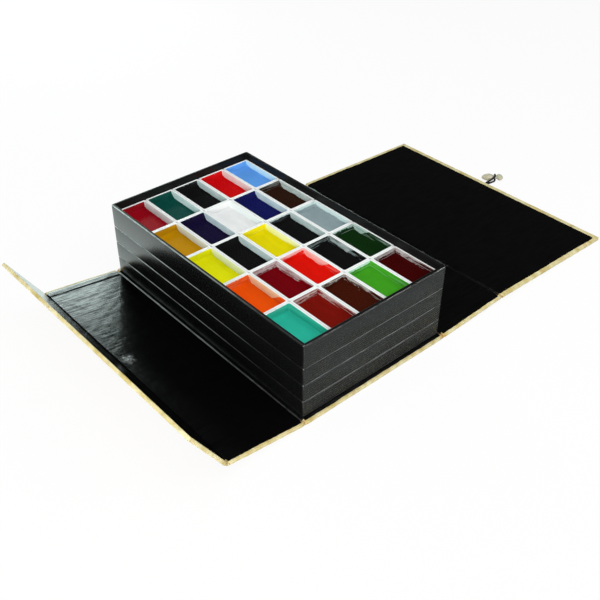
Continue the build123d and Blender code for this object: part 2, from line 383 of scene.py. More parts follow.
def blossom(s, place, pitch, radius, petals, offset):
    """Flowers on a half-drop grid: their mask, their heart, and a number for each."""
    x, y, _ = s.split(s.vector("ADD", place, (*offset, 0)))
    u = s.math("DIVIDE", x, pitch)
    column = s.math("FLOOR", u)
    drop = s.times(s.math("MODULO", s.math("ABSOLUTE", column), 2.0), 0.5)
    v = s.plus(s.math("DIVIDE", y, pitch), drop)
    row = s.math("FLOOR", v)
    du = s.minus(s.minus(u, column), 0.5)
    dv = s.minus(s.minus(v, row), 0.5)
    cell = s.node("ShaderNodeCombineXYZ", {0: column, 1: row}).outputs[0]
    number = s.node("ShaderNodeTexWhiteNoise", {"Vector": cell}).outputs["Value"]
    distance = s.times(s.length(du, dv), pitch)
    angle = s.plus(s.math("ARCTAN2", dv, du), s.times(number, 6.28))
    lobe = s.math("ABSOLUTE", s.math("COSINE", s.times(angle, petals / 2)))
    reach = s.math("MULTIPLY_ADD", s.math("POWER", lobe, 0.6), radius * 0.5, radius * 0.5)
    petal = s.math("LESS_THAN", distance, reach)
    heart = s.math("LESS_THAN", distance, radius * 0.27)
    off_vein = s.math("ABSOLUTE", s.minus(distance, s.times(reach, 0.78)))
    vein = s.math("GREATER_THAN", off_vein, radius * 0.06)
    return s.times(petal, vein), heart, number


def ramp(s, value, stops):
    """A stepped colour ramp."""
    node = s.node("ShaderNodeValToRGB", {0: value})
    node.color_ramp.interpolation = "CONSTANT"
    points = node.color_ramp.elements
    while len(points) < len(stops):
        points.new(0.5)
    for point, (place, colour) in zip(points, stops):
        point.position = place
        point.color = (*colour, 1)
    return node.outputs[0]


def make_brocade():
    """Gold silk brocade: a ground of linked circles with blossoms and leaves in coloured weft.

    The figures are full on the outside of the case and faint where only the edge shows.
    """
    s = Shader("gold_brocade", srgb(222, 206, 138), 0.5, Specular_IOR_Level=0.4)
    place = s.attribute("cloth", "Vector")
    shown = s.attribute("figured")
    x, y, _ = s.split(place)
    circles = []
    for shift in (0.0, CIRCLE_PITCH / 2):
        u, v = (
            s.minus(s.math("FLOORED_MODULO", s.plus(part, shift), CIRCLE_PITCH), CIRCLE_PITCH / 2)
            for part in (x, y)
        )
        off_circle = s.math("ABSOLUTE", s.minus(s.length(u, v), CIRCLE_R))
        circles.append(s.between(off_circle, 0.22, 0.34, 1.0, 0.0))
    lattice = s.times(s.math("MAXIMUM", *circles), shown)
    shade = s.streaks(place, (1.0, 0.5, 1.0), 0.16, 3)
    gold = s.mix(s.between(shade, 0.3, 0.7), srgb(206, 188, 112), srgb(240, 232, 184))
    gold = s.mix(s.times(lattice, 0.55), gold, srgb(160, 118, 44))
    # Orange flecks from rubbing on the gold
    patches = s.between(s.streaks(place, (0.5, 0.16, 1.0), 1.0, 3, 0.7), 0.62, 0.68, 0.0, 0.7)
    gold = s.mix(patches, gold, srgb(190, 116, 40))
    # Darker orange patches on the fold strips
    patchy_tone = s.between(s.noise(place, 0.9, 2), 0.48, 0.54, 0.0, 0.8)
    gold = s.mix(s.times(patchy_tone, s.attribute("creased")), gold, srgb(182, 122, 40))
    leaf, _, leaf_number = blossom(s, place, FIGURE_PITCH, 3.4, 4, (FIGURE_PITCH / 2, 6.0))
    greens = ((0.0, srgb(96, 118, 44)), (0.4, srgb(150, 132, 52)), (0.7, srgb(58, 96, 70)))
    flower, heart, number = blossom(s, place, FIGURE_PITCH, 5.2, 5, (0.0, 0.0))
    reds = (
        (0.0, srgb(196, 104, 34)), (0.3, srgb(140, 44, 26)), (0.5, srgb(222, 160, 60)),
        (0.7, srgb(178, 66, 40)), (0.88, srgb(240, 226, 186)),
    )
    colour = s.mix(s.times(leaf, shown), gold, ramp(s, leaf_number, greens))
    colour = s.mix(s.times(flower, shown), colour, ramp(s, number, reds))
    colour = s.mix(s.times(heart, shown), colour, srgb(238, 206, 104))
    weft, warp = (s.math("SINE", s.times(part, 2 * pi / THREAD_PITCH)) for part in (y, x))
    weave = s.times(weft, warp)
    s.look("Base Color", s.mix(s.between(weave, -1.0, 1.0, 0.0, 0.1), colour, srgb(120, 84, 30)))
    figures = s.times(s.math("MAXIMUM", flower, leaf), shown)
    height = s.math("MULTIPLY_ADD", figures, 1.2, s.times(weave, 0.35))
    bump = s.bump(s.noise(place, 0.25, 3), 0.3, 0.3)
    s.look("Normal", s.bump(height, 0.4, 0.12, bump))
    s.look("Sheen Weight", 0.15)
    return s.material


def make_porcelain():
    """White glazed porcelain, tinted inside by thin paint and a painted shade, and covered where paint ran
    up a wall.
    """
    s = Shader("porcelain", GLAZE, 0.14)
    place = s.point()
    pigment = s.attribute("pigment", "Color")
    streaky = s.attribute("streaky")
    inside = s.attribute("inside")
    smear = s.streaks(place, (1.0, 0.3, 1.3), 0.35, 4, 0.65)
    ragged = s.between(streaky, 0.0, 1.0, 0.25, 2.0)
    drift = s.times(ragged, s.between(smear, 0.3, 0.7, -1.0, 1.0))
    top = s.plus(s.attribute("climb"), drift)
    film = s.between(s.minus(top, s.attribute("rise")), -0.05, 0.12)
    along_y = s.streaks(place, (1.3, 0.05, 1.3), 0.8, 3, 0.6)
    along_x = s.streaks(place, (0.05, 1.3, 1.3), 0.8, 3, 0.6)
    apart = s.minus(along_x, along_y)
    streak = s.math("MULTIPLY_ADD", apart, s.attribute("at_back"), along_y)
    scraped = s.times(s.between(streak, 0.54, 0.57, 0.0, 0.9), streaky)
    smeared = s.times(s.between(streak, 0.46, 0.43, 0.0, 0.9), streaky)
    film = s.times(film, s.minus(1.0, scraped))
    film = s.math("MAXIMUM", film, s.times(smeared, inside))
    blotch = s.between(s.streaks(place, (0.5, 0.2, 0.5), 0.6, 2), 0.3, 0.7, 0.75, 1.0)
    tint = s.times(inside, blotch)
    # Inside, the glaze takes the film of pigment with its painted shade
    bare = s.mix(tint, GLAZE, s.attribute("stain", "Color"))
    # The film where paint ran up a wall: the pigment a little darker, as a painted shade
    film_shade_inputs = {0: 1.0, 6: pigment, 7: (0.95, 0.95, 0.95, 1)}
    shaded_film = s.node("ShaderNodeMix", film_shade_inputs, data_type="RGBA", blend_type="MULTIPLY")
    s.look("Base Color", s.mix(film, bare, shaded_film.outputs[2]))
    s.look("Roughness", s.between(film, 0.0, 1.0, 0.14, 0.3))
    s.look("Specular IOR Level", s.between(film, 0.0, 1.0, 0.6, 0.06))
    return s.material


def make_paint(name, colour):
    """Dried paint cake: full colour, a soft shine, fine ripples from the pouring."""
    s = Shader(name, colour, 0.26, Specular_IOR_Level=0.035)
    place = s.point()
    ripple = s.streaks(place, (0.4, 0.16, 0.4), 0.5, 3, 0.5)
    grain = s.noise(place, 1.1, 3, 0.6)
    bump = s.bump(ripple, 0.2, 0.4)
    s.look("Normal", s.bump(grain, 0.1, 0.1, bump))
    s.look("Roughness", s.between(grain, 0.3, 0.7, 0.2, 0.32))
    deeper = tuple(c * 0.75 for c in colour)
    s.look("Base Color", s.mix(s.between(ripple, 0.3, 0.7, 0.0, 0.3), colour, deeper))
    return s.material


def make_lower_paint():
    """The shared material of the lower paints, coloured pan by pan."""
    s = Shader("lower_paint", (0.3, 0.2, 0.1), 0.3, Specular_IOR_Level=0.12)
    ripple = s.streaks(s.point(), (0.4, 0.16, 0.4), 0.5, 3, 0.5)
    s.look("Normal", s.bump(ripple, 0.2, 0.4))
    s.look("Base Color", s.attribute("pigment", "Color"))
    return s.material


def make_bone():
    """Polished bone, a little translucent, with faint grain."""
    s = Shader("bone", srgb(204, 202, 174), 0.24, Subsurface_Weight=0.2, Subsurface_Scale=0.002)
    grain = s.streaks(s.point(), (0.9, 0.25, 0.9), 1.2, 3)
    s.look("Base Color", s.mix(grain, srgb(214, 212, 186), srgb(190, 186, 156)))
    return s.material


def make_cord():
    """Black braided cord."""
    s = Shader("black_cord", srgb(8, 8, 9), 0.62, Sheen_Weight=0.05)
    braid = s.node("ShaderNodeTexVoronoi", {"Vector": s.point(), "Scale": 2.4}).outputs["Distance"]
    s.look("Normal", s.bump(braid, 0.7, 0.2))
    return s.material


def make_board():
    """Grey pasteboard, hidden inside the cover."""
    s = Shader("pasteboard", srgb(170, 158, 136), 0.85)
    grain = s.noise(s.point(), 0.8, 4)
    s.look("Base Color", s.mix(grain, srgb(150, 138, 116), srgb(186, 174, 152)))
    return s.material


lining_paper = make_lining()
brocade = make_brocade()
porcelain = make_porcelain()
lower_paint = make_lower_paint()
bone = make_bone()
black_cord = make_cord()
pasteboard = make_board()
tray_side_paper = make_ribbed_paper()
tray_inside = make_tray_inside()
worn_paper = make_edge_highlight_paper()


# Meshes


def mesh_object(name, points, faces, materials, body=None, slots=None):
    """A mesh from points in millimetres in the row frame."""
    mesh = bpy.data.meshes.new(name)
    mesh.from_pydata([metres(p) for p in points], [], faces)
    for material in materials:
        mesh.materials.append(material)
    if slots is not None:
        mesh.polygons.foreach_set("material_index", slots)
    mesh.polygons.foreach_set("use_smooth", [True] * len(mesh.polygons))
    mesh.update()
    made = put(name, mesh)
    if body:
        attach(made, body)
    return made


def note(made, name, values):
    """One number, vector or colour for each point of a mesh."""
    values = np.array(values, np.float32)
    kinds = {1: ("FLOAT", "value"), 3: ("FLOAT_VECTOR", "vector"), 4: ("FLOAT_COLOR", "color")}
    kind, key = kinds[values.size // len(values)]
    made.data.attributes.new(name, kind, "POINT").data.foreach_set(key, values.ravel())


def sharpen(made, angle):
    """Edges bent further than this many degrees stay crisp."""
    made.data.set_sharp_from_angle(angle=radians(angle))


def rounded_ring(x0, x1, y0, y1, radius, step_x, step_y, arc=5):
    """Points anticlockwise round a rectangle with round corners, with each one's outward direction."""
    x0, x1, y0, y1 = x0 + radius, x1 - radius, y0 + radius, y1 - radius
    centres = ((x1, y1), (x0, y1), (x0, y0), (x1, y0))
    points = []
    for turn, (cx, cy) in enumerate(centres):
        for k in range(arc + 1):
            a = radians(90 * turn + 90 * k / arc)
            nx, ny = cos(a), sin(a)
            points.append((cx + radius * nx, cy + radius * ny, nx, ny))
        end_x, end_y = centres[(turn + 1) % 4]
        steps = step_y if turn % 2 else step_x
        for k in range(1, steps):
            x, y = cx + (end_x - cx) * k / steps, cy + (end_y - cy) * k / steps
            points.append((x + radius * nx, y + radius * ny, nx, ny))
    return points


def loft(rings):
    """Faces between rings of equally many points, with a face over each end."""
    n = len(rings[0])
    points = [p for ring in rings for p in ring]
    faces = []
    for k in range(len(rings) - 1):
        for i in range(n):
            j = (i + 1) % n
            faces.append((k * n + i, k * n + j, (k + 1) * n + j, (k + 1) * n + i))
    faces.append(tuple(range(n))[::-1])
    faces.append(tuple((len(rings) - 1) * n + i for i in range(n)))
    return points, faces


def join(points, faces, other):
    """Add the points and faces of another mesh."""
    start = len(points)
    points += other[0]
    faces += [tuple(start + i for i in face) for face in other[1]]


def grid(rows, columns, turned, start=0):
    """Faces of a grid of points that begins at a point's number, or the same faces turned over."""
    faces = []
    for j in range(rows):
        for i in range(columns):
            a = start + j * (columns + 1) + i
            face = (a, a + 1, a + columns + 2, a + columns + 1)
            faces.append(face[::-1] if turned else face)
    return faces


def circle(n):
    """The cosine and the sine of n even steps round a circle."""
    return [(cos(2 * pi * k / n), sin(2 * pi * k / n)) for k in range(n)]


def ease(value):
    """0 below 0, 1 above 1, and a soft step between."""
    share = min(max(value, 0.0), 1.0)
    return share * share * (3 - 2 * share)


class Wander:
    """A smooth random line: a few sine waves with chosen lengths."""

    def __init__(self, seed, lengths, size):
        chance = random.Random(seed)
        self.waves = []
        for length in lengths:
            self.waves.append((2 * pi / length, chance.uniform(0, 6.28), chance.uniform(0.6, 1.0)))
        self.size = size / len(lengths)

    def __call__(self, t):
        return self.size * sum(a * sin(f * t + p) for f, p, a in self.waves)


# The case


class Panel:
    """A case panel in its own flat frame: x from its fold axis, z = +half thickness on the lined side."""

    def __init__(self, name, axis, angle, near, far, side, free, cloth_start, turns=(TURN_IN, TURN_IN)):
        self.name, self.axis, self.angle, self.side = name, axis, radians(angle), side
        self.near, self.far, self.free = near, far, free
        self.cloth_start = cloth_start
        self.turn_side, self.turn_end = turns

    def place(self, x, y, z):
        """From the flat frame to the row frame."""
        ax, az = self.axis
        run = x * cos(self.angle) - z * sin(self.angle)
        return ax + self.side * run, y, az + x * sin(self.angle) + z * cos(self.angle)

    def cloth(self, x, y):
        """The place on the uncut cloth."""
        return self.cloth_start + self.side * x, y, 0.0


def fold(name):
    """Where a joint's axis is, seen along it."""
    x, _, z = joints[name]["pos_m"]
    return x / MM, z / MM


def between_folds(a, b):
    """The length of a panel between two folds, and how steeply it rises, in degrees."""
    across, up = abs(b[0] - a[0]), b[1] - a[1]
    return hypot(across, up), degrees(atan2(up, across))


wall_axis, lip_axis = fold("wall_fold"), fold("lip_fold")
spine_axis, lid_axis = fold("spine_fold"), fold("lid_fold")
knee = fold("clasp_swing")
fold_x = spine_axis[0]
wall_len, wall_slope = between_folds(wall_axis, lip_axis)
spine_len, spine_slope = between_folds(spine_axis, lid_axis)
_, lid_slope = between_folds(lid_axis, knee)
lip_start, lid_start = -fold_x - wall_len, fold_x + spine_len
lip_turns, lid_turns = (TURN_IN, LIP_TURN_END), (LID_TURN_SIDE, LID_TURN_END)
in_order = (
    Panel("base", (0.0, HALF_T), 0, -fold_x + HALF_GAP, fold_x - HALF_GAP, 1, False, 0.0),
    Panel("wall", wall_axis, wall_slope, HALF_GAP, wall_len - HALF_GAP, -1, False, -fold_x),
    Panel("lip", lip_axis, LIP_ANGLE, HALF_GAP, LIP_LENGTH, -1, True, lip_start, lip_turns),
    Panel("spine", spine_axis, spine_slope, HALF_GAP, spine_len - HALF_GAP, 1, False, fold_x),
    Panel("lid", lid_axis, lid_slope, HALF_GAP, LID_LENGTH, 1, True, lid_start, lid_turns),
)
panels = {panel.name: panel for panel in in_order}


def cover_rings(panel, insets):
    """Rings round a panel, one for each inset, height and place on the cloth; fold edges stay square."""
    half = CASE_L / 2
    steps_x = max(6, round((panel.far - panel.near) / 4))
    wander_out = Wander(panel.name + "out", (61, 23, 11), 0.22)
    wander_up = Wander(panel.name + "up", (83, 31, 17), 0.2)
    rings, cloths = [], []
    for inset, z, wrap in insets:
        radius = max(CORNER_R - inset, 0.3)
        far = panel.far - (inset if panel.free else 0)
        ring = []
        for x, y, nx, ny in rounded_ring(panel.near, far, -half + inset, half - inset, radius, steps_x, 64):
            free_side = abs(ny) > 0.5 or panel.free
            cloths.append(panel.cloth(x + nx * wrap * free_side, y + ny * wrap))
            t = x + y * 1.7 if abs(ny) > 0.5 else y
            push = wander_out(t + nx * 40) * (1.0 if inset < 1 else 0.4)
            if nx < -0.5 or (nx > 0.5 and not panel.free):
                push = 0.0
            x, y = max(x + nx * push, panel.near), y + ny * push
            if not panel.free or nx < 0.5:
                x = min(x, panel.far)
            sink = min(wander_up(t), 0.0) * (0.35 if abs(z) > 1.2 else 1.0)
            ring.append(panel.place(x, y, z + (sink if z > 0 else -sink)))
        rings.append(ring)
    return rings, cloths


def build_cover(panel):
    """The brocade wrapped round one panel, with the turn-in that shows on the lined side."""
    steps = (
        (6.0, -1.5, -6.0), (0.62, -1.5, -0.6), (0.2, -1.38, -0.1), (0.0, -1.02, 0.4), (0.02, 0.0, 1.5),
        (0.0, 0.98, 2.5), (0.2, 1.36, 3.0), (0.6, 1.44, 3.5), (min(panel.turn_side, 6) + 1.2, 1.42, 6.0),
    )
    rings, cloths = cover_rings(panel, steps)
    made = mesh_object(f"{panel.name}_cover", *loft(rings), [brocade], panel.name)
    note(made, "cloth", cloths)
    figured = [FIGURES_OUTSIDE if z < -1.4 else FIGURES_AT_EDGE for _, z, _ in steps for _ in rings[0]]
    note(made, "figured", figured)
    sharpen(made, 50)
    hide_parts(f"{panel.name}_brocade")


# Where the cord's knot lifts the wall's lining: place along the panel and across it, radius, height
LUMPS = (
    (0.0, 7.6, 1.9, 0.42), (-3.0, 10.2, 1.7, 0.3), (1.6, 11.0, 1.7, 0.26),
    (3.4, 7.4, 1.6, 0.24), (-2.6, 5.4, 1.6, 0.24), (1.4, 3.6, 1.7, 0.24),
)


def pressed(x, y):
    """How far the knot of the cord loop lifts the wall's lining at a place."""
    from_loop = x - wall_len + LOOP_DOWN
    return sum(
        height * exp(-((from_loop - across) ** 2 + (y - along) ** 2) / radius**2)
        for across, along, radius, height in LUMPS
    )


def lining_height(panel, x, y, inward, wave):
    """Small hollows and swells of the pasted lining, the cloth under its far end, and the cord's knot."""
    lift = LINING_PROUD + 0.05 * (wave(x * 0.7 + y) + wave(x - y * 0.6 + 40))
    if panel.name == "wall":
        lift += pressed(x, y)
        lift += 0.22 * ease((UNDER_CLOTH - inward) / 1.6)
    return lift


def build_lining(panel):
    """The black paper pasted on one panel, with soft edges."""
    half = CASE_L / 2 - panel.turn_side
    x0 = panel.near + LINING_GAP
    x1 = panel.far - (panel.turn_end if panel.free else LINING_GAP)
    nx, ny = (68, 252) if panel.name == "wall" else (max(8, round((x1 - x0) / 1.6)), 150)
    wave = Wander(panel.name + "lining", (47, 29, 13, 9), 1.0)
    edge = Wander(panel.name + "edge", (71, 27, 9), 0.3)
    points, scuffed = [], []
    for j in range(ny + 1):
        for i in range(nx + 1):
            s, t = i / nx, j / ny
            y_half = half + edge(s * 97 + 11)
            x_end = x1 + (edge(t * 211) if panel.free else 0)
            x, y = x0 + (x_end - x0) * s, -y_half + 2 * y_half * t
            pasted_down = j in (0, ny) or (panel.free and i == nx)
            lift = -0.12 if pasted_down else lining_height(panel, x, y, y_half - y, wave)
            points.append(panel.place(x, y, HALF_T + lift))
            # The painted highlight over the knot, strongest where the knot lifts the lining most
            scuffed.append(min(pressed(x, y) * 2, 1.0) if panel.name == "wall" else 0.0)
    faces = grid(ny, nx, panel.side < 0)
    made = mesh_object(f"{panel.name}_paper", points, faces, [lining_paper], panel.name)
    note(made, "scuffed", scuffed)
    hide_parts(f"{panel.name}_lining")


def build_fold(parent, child):
    """The soft hinge between two panels: brocade outside, lining pressed into the groove inside."""
    name = f"{child.name}_fold_strip"
    half = CASE_L / 2
    columns = [-2.3, -1.5, -1.15, -0.8, -0.4, 0.0, 0.4, 0.8, 1.15, 1.5, 2.3]
    rows = 64
    side = child.side
    axis_x, axis_z = child.axis
    wander = Wander(name, (67, 29, 12), 0.25)

    def place(x, y, z):
        share = ease((x + HALF_GAP) / (2 * HALF_GAP))
        bend = parent.angle + share * (child.angle - parent.angle)
        run = x * cos(bend) - z * sin(bend)
        return axis_x + side * run, y, axis_z + x * sin(bend) + z * cos(bend)

    points, cloths = [], []
    for inside in (False, True):
        for j in range(rows + 1):
            t = j / rows
            y = -half + 0.05 + (2 * half - 0.1) * t
            pinched = 0.5 * (1 - min(1.0, min(t, 1 - t) * CASE_L))
            for x in columns:
                share = max(0.0, 1 - (x / HALF_GAP) ** 2)
                tucked = 0.12 if abs(x) > HALF_GAP else 0.0
                if inside:
                    z = HALF_T + 0.02 - share * (GROOVE_DEPTH + wander(y + 30)) - pinched - tucked
                else:
                    z = -HALF_T + 0.03 + share * (ROLL_HEIGHT + wander(y)) + pinched + tucked
                points.append(place(x, y, z))
                cloths.append(child.cloth(x, y))
    n = len(columns)
    layer_size = n * (rows + 1)
    faces = grid(rows, n - 1, side > 0) + grid(rows, n - 1, side < 0, layer_size)
    slots = [0] * (rows * (n - 1))
    for j in range(rows):
        y = -half + 2 * half * (j + 0.5) / rows
        lined = abs(y) < half - TURN_IN - 1.0
        # The middle of the lined groove takes the pale paper: a painted highlight along the crease
        slots += [2 if lined and 3 <= i <= n - 5 else int(lined) for i in range(n - 1)]
    for j in (0, rows):
        for i in range(n - 1):
            a, b = j * n + i, layer_size + j * n + i
            face = (a, b, b + 1, a + 1)
            faces.append(face if (j == 0) != (side > 0) else face[::-1])
            slots.append(0)
    made = mesh_object(name, points, faces, [brocade, lining_paper, worn_paper], None, slots)
    note(made, "cloth", cloths)
    figured = [FIGURES_OUTSIDE] * layer_size + [FIGURES_AT_EDGE] * layer_size
    note(made, "figured", figured)
    note(made, "creased", [1.0] * len(points))
    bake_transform(made)
    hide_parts(f"{child.name}_fold_cloth")


for panel in panels.values():
    build_cover(panel)
    build_lining(panel)
for parent, child in (("base", "wall"), ("wall", "lip"), ("base", "spine"), ("spine", "lid")):
    build_fold(panels[parent], panels[child])


# Trays, pans and paints


def build_tray(level):
    """A tray of board covered with ribbed black paper, every edge softly rounded."""
    low, high = box(f"{level}_tray")
    z0, z1 = low[2], high[2]
    steps = (
        (4.0, z0 + 0.05), (0.9, z0 + 0.05), (0.35, z0 + 0.14), (0.08, z0 + 0.4), (0.0, z0 + 0.8),
        (0.0, (z0 + z1) / 2), (0.0, z1 - 1.1), (0.13, z1 - 0.6), (0.45, z1 - 0.2), (1.0, z1),
        (TRAY_WALL - 0.6, z1), (TRAY_WALL - 0.15, z1 - 0.2), (TRAY_WALL, z1 - 0.7),
        (TRAY_WALL, z0 + TRAY_FLOOR),
    )
    wander = Wander(level, (90, 41, 17), 0.12)
    rings = []
    for inset, z in steps:
        radius = max(TRAY_CORNER_R - inset, 0.5)
        sides = (low[0] + inset, high[0] - inset, low[1] + inset, high[1] - inset)
        ring = []
        for x, y, nx, ny in rounded_ring(*sides, radius, 24, 40, 6):
            push = min(0.0, wander(x * 1.3 + y) - 0.04) if inset < 1 else 0.0
            ring.append((x + nx * push, y + ny * push, z))
        rings.append(ring)
    points, faces = loft(rings)
    around = len(rings[0])
    slots = []
    for k in range(len(faces) - 2):
        ring, y = k // around, points[k][1]
        at_top_end = level == "top" and y < low[1] + TRAY_CORNER_R
        # Rings 7 and 8, the rounded top outer edge, take the pale paper as a painted highlight, except at
        # the top tray's near end
        slots.append(1 if ring > 8 else 2 if ring > 6 and not at_top_end else 0)
    materials = [tray_side_paper, tray_inside, worn_paper]
    made = mesh_object(f"{level}_tray_paper", points, faces, materials, f"{level}_tray", slots + [0, 1])
    sharpen(made, 40)
    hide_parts(f"{level}_tray")


def cells(level):
    """Column, row and centre of each pan of a tray, and the height of its rim."""
    low, high = box(f"{level}_pans")
    cx, cy = (low[0] + high[0]) / 2, (low[1] + high[1]) / 2
    for row in range(ROWS):
        for column in range(COLUMNS):
            x = cx + (column - (COLUMNS - 1) / 2) * PITCH_X
            y = cy + ((ROWS - 1) / 2 - row) * PITCH_Y
            yield column, row, x, y, high[2]


def lower_pigment(level, column, row):
    """A colour for a pan of a lower tray: a run of hues, then earths, tints and darks."""
    k = (LEVELS[::-1].index(level) - 1) * ROWS * COLUMNS + row * COLUMNS + column
    hue = (k * 0.618) % 1.0
    chance = random.Random(k * 7 + 3)
    saturation = chance.choice((0.95, 0.85, 0.6, 0.35))
    value = chance.choice((0.85, 0.6, 0.4, 0.2))
    return srgb(*(c * 255 for c in colorsys.hsv_to_rgb(hue, saturation, value)))


def stain(pigment, streaky):
    """The colour of white porcelain under a thin film of this pigment, with a painted shade that makes the
    walls darker and blue-green: dark pigments leave it greyer.
    """
    strongest = max(pigment)
    grey = 0.2126 * pigment[0] + 0.7152 * pigment[1] + 0.0722 * pigment[2]
    fullness = min(1.0, 0.3 + 0.8 * strongest + 0.3 * streaky)
    thickness = (0.12 + 0.05 * strongest + 0.1 * grey) * (1 + streaky)
    # paler, base and gain paint a shade on the walls: darker, most for pale pigments, and blue-green for
    # dark ones
    paler = 1 - 0.16 * grey
    shades = []
    for c, base, gain in zip(pigment, (0.62, 0.86, 0.84), (0.32, 0.14, 0.14)):
        film = max(grey + (c - grey) * fullness, 0.003) ** thickness
        shades.append(paler * (base + gain * c) * film)
    return tuple(shades)


def covered(y, paint):
    """The share of the right wall that this pan's paint covers, at y from the pan's middle."""
    ahead = ease((0.5 - y / CAVITY_L - paint.change) / 0.26 + 0.5)
    return paint.behind + (paint.ahead - paint.behind) * ahead


def draft(depth):
    """How far the wall of a pan's cavity has come in at this depth."""
    return CAVITY_DRAFT * depth / CAVITY_DEPTH


def pan_profile():
    """(half width, half length, corner radius, height below the rim) from the foot round to the floor."""
    w, l = PAN_W / 2, PAN_L / 2
    cw, cl = CAVITY_W / 2, CAVITY_L / 2

    def inner(depth):
        return cw - draft(depth), cl - draft(depth), CAVITY_CORNER_R, -depth

    return [
        (w - 3.0, l - 3.0, 1.0, -PAN_H + 0.5), (w - 2.2, l - 2.2, 1.0, -PAN_H + 0.05),
        (w - 1.0, l - 1.0, 1.0, -PAN_H), (w - 0.4, l - 0.4, 1.2, -PAN_H + 0.5),
        (w - 0.1, l - 0.1, 1.2, -3.0), (w, l, 1.2, -0.6),
        (w - 0.06, l - 0.06, 1.2, -0.2), (w - 0.3, l - 0.3, 1.2, 0.0),
        (cw + 0.35, cl + 0.35, CAVITY_CORNER_R + 0.2, 0.0), (cw + 0.08, cl + 0.08, CAVITY_CORNER_R, -0.12),
        inner(0.4), inner(2.2), inner(3.8), inner(PAINT_BELOW_RIM), inner(7.5), inner(9.4),
        (cw - 4.6, cl - 4.6, 2.2, -CAVITY_DEPTH + 0.1), (cw - 6.0, cl - 6.0, 2.0, -CAVITY_DEPTH),
    ]


def pan_paint(level, column, row):
    """The pigment of one pan, and how its paint lies on the walls."""
    if level == "top":
        paint = TOP_PAINTS[row][column]
        return srgb(*PIGMENTS[paint.name]), paint
    return lower_pigment(level, column, row), Paint("", 0.9, 0.1, 0.3, 0.6, 0.2)


def facing(part):
    """How far a wall faces one way, from that part of its normal, with a quick change at the corners."""
    return min(max((max(0.0, part) ** 2 - 0.3) / 0.4, 0.0), 1.0)


def build_pans(level):
    """The porcelain pans of one tray, each with the stains of its own paint and a painted shade inside."""
    points, faces, noted = [], [], []
    for column, row, cx, cy, rim in cells(level):
        pigment, paint = pan_paint(level, column, row)
        stain_and_shade_colour = stain(pigment, paint.streaky)
        chance = random.Random(f"{level}{column}{row}")
        cx, cy = cx + chance.uniform(-0.05, 0.05), cy + chance.uniform(-0.05, 0.05)
        corner_climb = chance.uniform(0.2, 1.0) * CORNER_CLIMB
        rings = []
        for w, l, radius, z in pan_profile():
            inside = w < CAVITY_W / 2 + 0.05 and z > -CAVITY_DEPTH
            ring = []
            for x, y, nx, ny in rounded_ring(-w, w, -l, l, radius, 6, 16, 4):
                ring.append((cx + x, cy + y, rim + z))
                back, right = facing(ny), facing(nx)
                climb = 0.25 + PAINT_BELOW_RIM * (back * paint.back + right * covered(y, paint))
                climb += right * corner_climb * exp(-(((l - y) / 2.2) ** 2))
                noted.append({
                    "pigment": (*pigment, 1.0),
                    "stain": (*stain_and_shade_colour, 1.0),
                    "rise": z + PAINT_BELOW_RIM,
                    "climb": climb if inside else -9.0,
                    "streaky": paint.streaky if inside else 0.0,
                    "inside": min(1.0, 0.7 - z / 2) if inside else 0.0,
                    "at_back": float(back > 0.5),
                })
            rings.append(ring)
        join(points, faces, loft(rings))
    made = mesh_object(f"{level}_porcelain", points, faces, [porcelain], f"{level}_tray")
    sharpen(made, 50)
    for name in noted[0]:
        note(made, name, [values[name] for values in noted])
    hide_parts(f"{level}_pans")


def cake(cx, cy, rim, seed, paint):
    """One paint cake: it climbs the walls a little at its edge and dips towards the middle."""
    edge = Wander(seed + "edge", (61, 29), 1.0)
    ragged = Wander(seed + "ragged", (17, 9, 5), 1.0)
    swirl = Wander(seed + "swirl", (31, 19), 1.0)
    tilt = random.Random(seed).uniform(-0.012, 0.012)
    slope = draft(PAINT_BELOW_RIM)
    rings = []
    for inset in (0.0, 0.25, 0.7, 1.5, 3.0, 5.0, 7.0, 9.0):
        share = exp(-inset / 0.6)
        w, l = CAVITY_W / 2 - slope - inset, CAVITY_L / 2 - slope - inset
        radius = max(CAVITY_CORNER_R - inset * 0.4, 0.4)
        ring = []
        for x, y, nx, ny in rounded_ring(-w, w, -l, l, radius, 10, 18, 4):
            around = x * 0.9 - y * 1.1 + nx * 30 + ny * 13
            right = max(0.0, nx) ** 2
            back = max(0.0, ny) ** 2
            climb = 0.25 + 0.08 * edge(around) + 0.3 * back
            climb += right * min(covered(y, paint), 0.8) * paint.streaky * (1.6 + 1.2 * ragged(around))
            sink = 0.5 * (1 - exp(-inset / 1.6))
            wave = 0.12 * paint.streaky * swirl(x * 1.1 + y * 0.8) * min(inset / 2, 1.0)
            z = -PAINT_BELOW_RIM + max(0.1, climb) * share - sink + wave + tilt * y
            wall = draft(-z) - slope
            ring.append((cx + x - nx * wall, cy + y - ny * wall, rim + z))
        rings.append(ring)
    foot_z = -PAINT_BELOW_RIM - CAKE_EDGE
    below = draft(-foot_z) + 0.2
    w, l = CAVITY_W / 2 - below, CAVITY_L / 2 - below
    outline = rounded_ring(-w, w, -l, l, CAVITY_CORNER_R, 10, 18, 4)
    foot = [(cx + x, cy + y, rim + foot_z) for x, y, _, _ in outline]
    return loft([foot] + rings)


